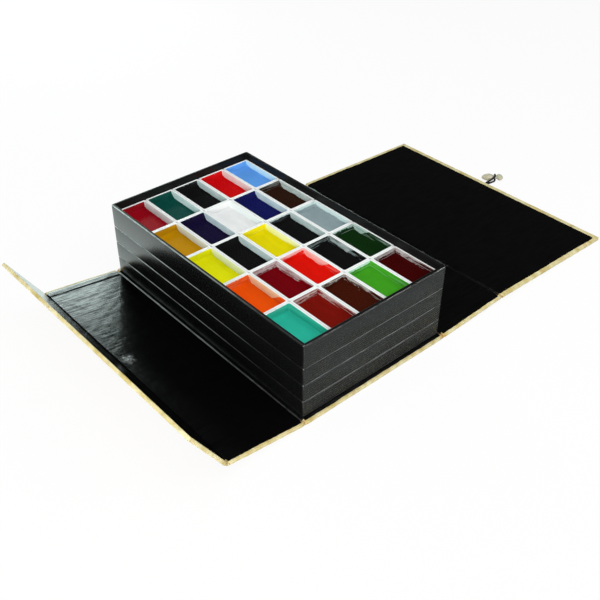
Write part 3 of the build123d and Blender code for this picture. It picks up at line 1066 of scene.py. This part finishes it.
def build_paints():
    """The paints: one piece for each colour of the top tray, one for each lower tray."""
    groups = {}
    for level in LEVELS:
        for column, row, cx, cy, rim in cells(level):
            pigment, paint = pan_paint(level, column, row)
            key = f"paint_{paint.name}" if level == "top" else f"{level}_paints"
            points, faces, pigments, _, _ = groups.setdefault(key, ([], [], [], f"{level}_tray", pigment))
            join(points, faces, cake(cx, cy, rim, f"{level}{row}{column}", paint))
            pigments += [(*pigment, 1.0)] * (len(points) - len(pigments))
    for key, (points, faces, pigments, body, pigment) in groups.items():
        lower = key.endswith("_paints")
        material = lower_paint if lower else make_paint(key, pigment)
        made = mesh_object(f"{key}_cakes", points, faces, [material], body)
        if lower:
            note(made, "pigment", pigments)
        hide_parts(key)


for level in LEVELS:
    build_tray(level)
    build_pans(level)
build_paints()


# The clasp

# The peg's thickness along it, its waist at 0
PEG_STATIONS = (
    (-8.2, 0.0), (-8.0, 1.9), (-7.2, 4.0), (-5.6, 5.6), (-4.1, 6.0), (-2.6, 5.0), (-1.2, 2.4), (1.2, 2.4),
    (2.9, 4.8), (4.6, 6.1), (6.4, 6.6), (8.6, 6.2), (10.2, 5.6), (12.0, 4.4), (13.4, 3.0), (14.2, 1.7),
    (14.6, 0.0),
)


def peg_half(x):
    """Half the peg's thickness at x along it, a little evened out."""
    xs, thicknesses = zip(*PEG_STATIONS)
    return sum(float(np.interp(x + d, xs, thicknesses)) for d in (-0.4, 0.0, 0.4)) / 6


def build_peg():
    """The bone peg: two flattened lobes with a waist between."""
    tip, tail = PEG_STATIONS[0][0], PEG_STATIONS[-1][0]
    turn = radians(PEG_TURN)
    cx, cy = knee[0] + PEG_REACH, CLASP_Y + PEG_ASIDE
    rings = []
    for k in range(1, 40):
        x = tip + (tail - tip) * (0.5 - 0.5 * cos(pi * k / 40))
        h = peg_half(x)
        ring = []
        for c, s in circle(28):
            y = h * PEG_FLATNESS * copysign(abs(c) ** 0.9, c)
            z = h * copysign(abs(s) ** 0.9, s)
            across, along = x * cos(turn) - y * sin(turn), x * sin(turn) + y * cos(turn)
            ring.append((cx + across, cy + along, PEG_MID_Z + z))
        rings.append(ring)
    made = mesh_object("bone_peg", *loft(rings), [bone], "clasp")
    smoother = made.modifiers.new("round", "SUBSURF")
    smoother.levels = smoother.render_levels = 1
    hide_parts("clasp_peg")
    return made


def cord_curve(name, points, body, node):
    """A cord along a smooth line with these control points."""
    curve = bpy.data.curves.new(name, "CURVE")
    curve.dimensions = "3D"
    curve.bevel_depth = CORD_D / 2 * MM
    curve.bevel_resolution = 4
    curve.resolution_u = 12
    curve.use_fill_caps = True
    spline = curve.splines.new("NURBS")
    spline.points.add(len(points) - 1)
    for point, place in zip(spline.points, points):
        point.co = (*metres(place), 1)
    spline.order_u = 3
    spline.use_endpoint_u = True
    curve.materials.append(black_cord)
    made = put(name, curve)
    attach(made, body)
    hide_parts(node)
    return made


# The cord's route: out of the collar, over the peg's waist and back under it
CLASP_ROUTE = (
    (304.71, 11.75, 1.43), (309.77, 9.49, 3.9), (315.75, 9.25, 5.7), (320.66, 13.61, 5.6),
    (320.73, 13.54, 1.01), (315.8, 8.69, 1.01), (310.34, 8.61, 1.4), (304.71, 9.45, 1.43),
)


def build_collar():
    """The bound end of the cord that stands out of the lid's edge."""
    windings = (
        (-0.9, 1.0), (0.05, 1.0), (0.2, 1.12), (0.55, 1.12),
        (0.7, 1.0), (0.85, 1.1), (1.25, 1.08), (1.6, 0.7),
    )
    rings = []
    for x, swell in windings:
        r = COLLAR_R * swell
        rings.append([panels["lid"].place(LID_LENGTH + x, CLASP_Y + r * c, r * s) for c, s in circle(20)])
    made = mesh_object("clasp_binding", *loft(rings), [black_cord], "lid")
    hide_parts("clasp_collar")


def build_clasp():
    """Peg, collar, the cord between them, and the loop on the wall."""
    peg = build_peg()
    build_collar()
    cord = cord_curve("peg_cord", CLASP_ROUTE, "clasp", "clasp_cord")
    wall = panels["wall"]
    x = wall_len - LOOP_DOWN
    half = LOOP_SPAN / 2
    outer, inner = -HALF_T - LOOP_HEIGHT, HALF_T - 0.3
    flat = (
        (-half, inner), (-half, -HALF_T), (-half, outer + 0.35), (-half * 0.62, outer), (0, outer + 0.1),
        (half * 0.62, outer), (half, outer + 0.35), (half, -HALF_T), (half, inner),
    )
    cord_curve("wall_cord_loop", [wall.place(x, CLASP_Y + y, z) for y, z in flat], "wall", "wall_loop")


build_clasp()

# Solids that stay as they are
for name, node in frame["nodes"].items():
    if not node.hide_render:
        node.data.materials.clear()
        node.data.materials.append(pasteboard)


# Floor, light and camera


def build_stage():
    """A white floor: it keeps a soft shadow, and shows darker in front than behind in glossy things."""
    s = Shader("pale_floor", (0.86, 0.86, 0.86), 0.9, Specular_IOR_Level=0.0)
    path = s.node("ShaderNodeLightPath").outputs
    x, y, _ = s.split(s.point())
    front = s.between(x, -150.0, -70.0, FLOOR_GLOSS_LEFT, FLOOR_GLOSS_FRONT)
    glossy = s.between(y, -130.0, 110.0, front, FLOOR_GLOSS_BACK)
    white = s.node("ShaderNodeEmission", {"Color": (1, 1, 1, 1), "Strength": 1.0}).outputs[0]
    mirrored = s.node("ShaderNodeEmission", {"Color": (0.88, 1.0, 0.97, 1), "Strength": glossy}).outputs[0]
    share = s.times(path["Is Camera Ray"], 0.92)
    seen = s.node("ShaderNodeMixShader", {0: share, 1: s.surface.outputs[0], 2: white}).outputs[0]
    blend = s.node("ShaderNodeMixShader", {0: path["Is Glossy Ray"], 1: seen, 2: mirrored})
    s.tree.links.new(blend.outputs[0], s.tree.nodes["Material Output"].inputs[0])
    corners = [(x * FLOOR_HALF, y * FLOOR_HALF, -0.02) for x, y in ((-1, -1), (1, -1), (1, 1), (-1, 1))]
    floor = mesh_object("floor", corners, [(0, 1, 2, 3)], [s.material])


def build_world():
    """White to the camera, a soft fill to matt things, and dark in glossy things."""
    world = bpy.data.worlds.new("studio")
    bpy.context.scene.world = world
    world.use_nodes = True
    tree = world.node_tree
    tree.nodes.clear()
    path = tree.nodes.new("ShaderNodeLightPath")
    lights = []
    for strength in (FILL, DARK_ROOM, 1.0):
        light = tree.nodes.new("ShaderNodeBackground")
        light.inputs[0].default_value = (1, 1, 1, 1)
        light.inputs[1].default_value = strength
        lights.append(light.outputs[0])
    mixed = lights[0]
    for ray, light in (("Is Glossy Ray", lights[1]), ("Is Camera Ray", lights[2])):
        mix = tree.nodes.new("ShaderNodeMixShader")
        tree.links.new(path.outputs[ray], mix.inputs[0])
        tree.links.new(mixed, mix.inputs[1])
        tree.links.new(light, mix.inputs[2])
        mixed = mix.outputs[0]
    out = tree.nodes.new("ShaderNodeOutputWorld")
    tree.links.new(mixed, out.inputs[0])


def area_light(name, place, aim, size, power, colour=(1, 1, 1)):
    """A soft box at a place in millimetres, turned to its aim."""
    data = bpy.data.lights.new(name, "AREA")
    data.shape = "RECTANGLE"
    data.size, data.size_y = metres(size)
    data.energy = power
    data.color = colour
    lamp = put(name, data)
    lamp.location = Vector(place) * MM
    lamp.rotation_mode = "QUATERNION"
    lamp.rotation_quaternion = (Vector(aim) - Vector(place)).to_track_quat("-Z", "Y")


def build_camera():
    """The camera that the photograph was taken with."""
    azimuth, elevation = radians(CAMERA_AZIMUTH), radians(CAMERA_ELEVATION)
    level = cos(elevation)
    back = Vector((sin(azimuth) * level, -cos(azimuth) * level, sin(elevation)))
    right = Vector((0, 0, 1)).cross(back).normalized()
    up = back.cross(right)
    roll = radians(CAMERA_ROLL)
    right, up = right * cos(roll) + up * sin(roll), up * cos(roll) - right * sin(roll)
    place = right * CAMERA_OFFSET[0] + up * CAMERA_OFFSET[1] + back * CAMERA_DISTANCE
    data = bpy.data.cameras.new("camera")
    data.lens = CAMERA_LENS
    data.sensor_width = 36.0
    data.clip_start, data.clip_end = 0.01, 20
    camera = put("camera", data)
    turn = Matrix((right, up, back)).transposed().to_4x4()
    camera.matrix_world = Matrix.Translation((place + Vector(CAMERA_TARGET)) * MM) @ turn
    bpy.context.scene.camera = camera


build_stage()
build_world()
area_light("overhead", (-120, -150, 1000), (0, 0, 0), (900, 900), 4.6)
area_light("behind", (282, 894, 322), (-76, 358, 322), (250, 445), 2.7, (0.83, 1.0, 0.965))
area_light("front", (-950, -560, 300), (0, 0, 10), (500, 300), 8.0, (1.0, 0.99, 0.97))
area_light("front_edges", (600, -690, 616), (0, -124, 40), (600, 100), 2.5)
build_camera()
bpy.context.scene.view_settings.view_transform = "Standard"
